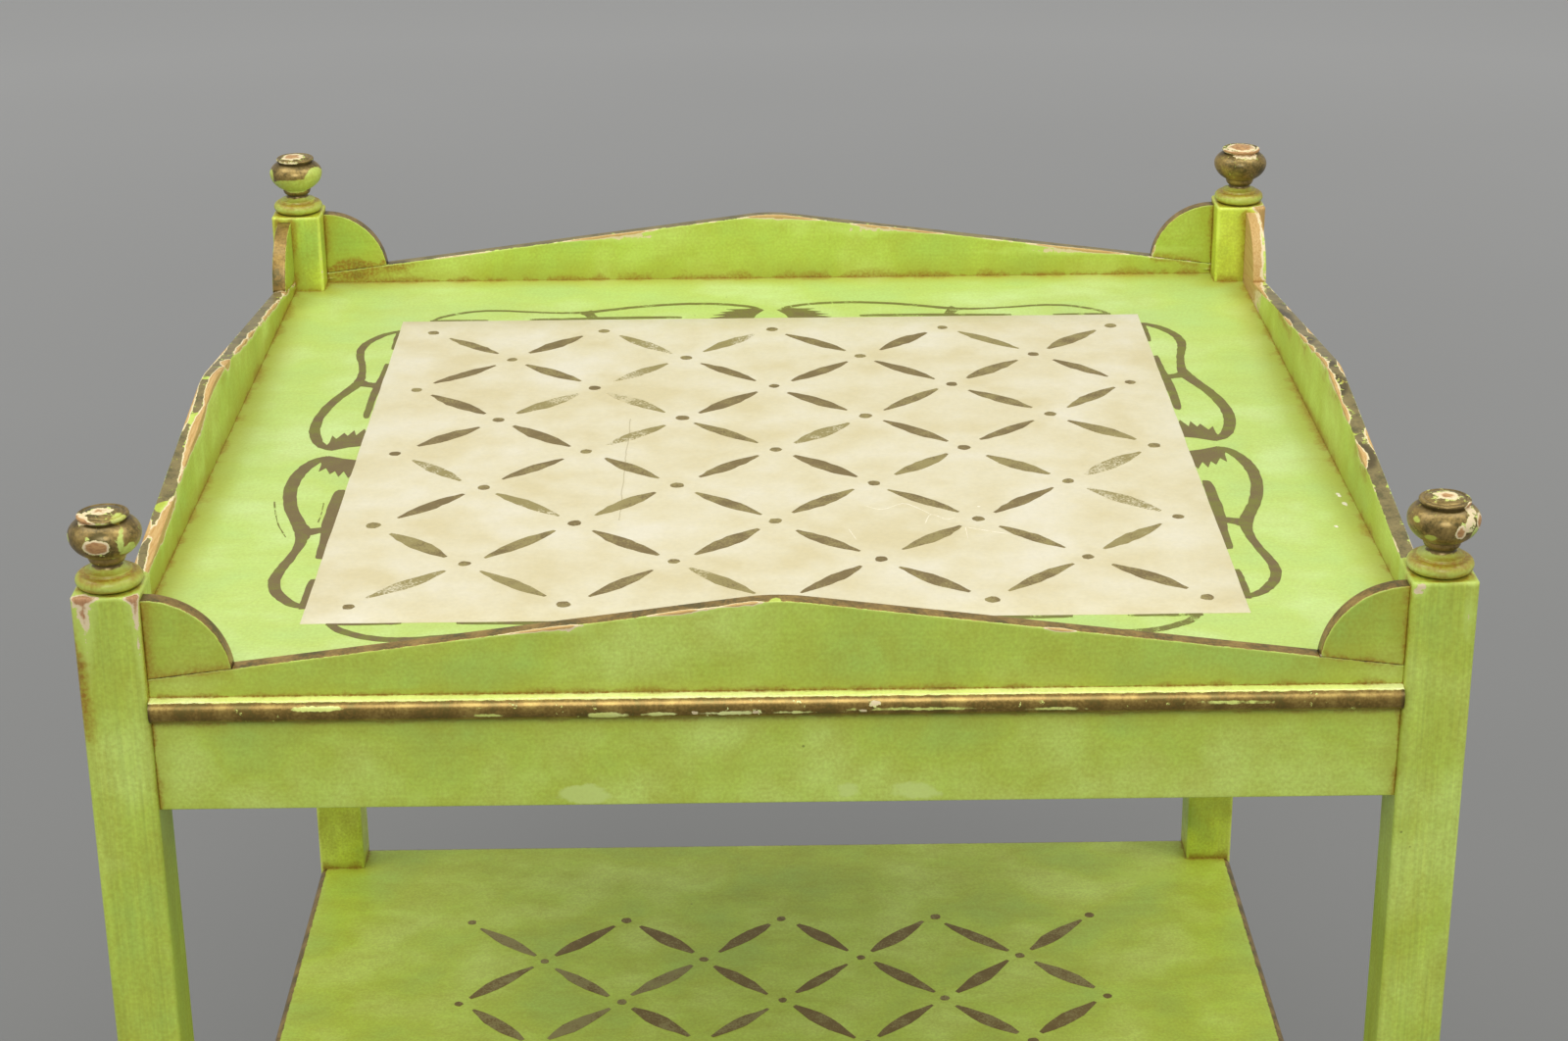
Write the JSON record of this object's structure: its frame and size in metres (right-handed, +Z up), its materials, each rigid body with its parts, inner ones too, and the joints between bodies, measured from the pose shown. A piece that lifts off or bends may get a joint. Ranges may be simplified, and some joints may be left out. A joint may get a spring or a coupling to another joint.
{
  "type": "tiered side table",
  "caption": "Square tiered side table: open shelves between square legs under a tray top, which a gabled gallery with quarter-round ears and turned finials surrounds.",
  "frame": {"origin": "on the floor, under the middle of the table", "axes": "+Z up along the legs, -Y towards the front (the view of the picture), +X to the right as seen from the front"},
  "size_m": [0.4606, 0.4606, 0.7807],
  "materials": {
    "green_paint": "apple-green brushed paint under an olive antique glaze, worn at the edges, satin",
    "bronze_paint": "bronze-brown metallic paint over green, rubbed and chipped, satin",
    "cream_paint": "cream paint with a faint buff mottle and fine cracks, satin",
    "bare_wood": "bare softwood, sawn and sealed by age, dull"
  },
  "bodies": {
    "root": {"leg_front_left": "green_paint", "leg_front_right": "green_paint", "leg_back_right": "green_paint", "leg_back_left": "green_paint", "finial_front_left": "bronze_paint", "finial_front_right": "bronze_paint", "finial_back_right": "bronze_paint", "finial_back_left": "bronze_paint", "side_board_front": "green_paint", "side_board_right": "green_paint", "side_board_back": "green_paint", "side_board_left": "green_paint", "ear_front_left": "green_paint", "ear_front_right": "green_paint", "ear_right_front": "green_paint", "ear_right_back": "green_paint", "ear_back_right": "green_paint", "ear_back_left": "green_paint", "ear_left_back": "green_paint", "ear_left_front": "green_paint", "bead_front": "bronze_paint", "bead_right": "bronze_paint", "bead_back": "bronze_paint", "bead_left": "bronze_paint", "tray_cleat_front": "bare_wood", "tray_cleat_right": "bare_wood", "tray_cleat_back": "bare_wood", "tray_cleat_left": "bare_wood", "tray_board": "green_paint", "middle_shelf": "green_paint", "bottom_shelf": "green_paint"}
  },
  "joints": []
}
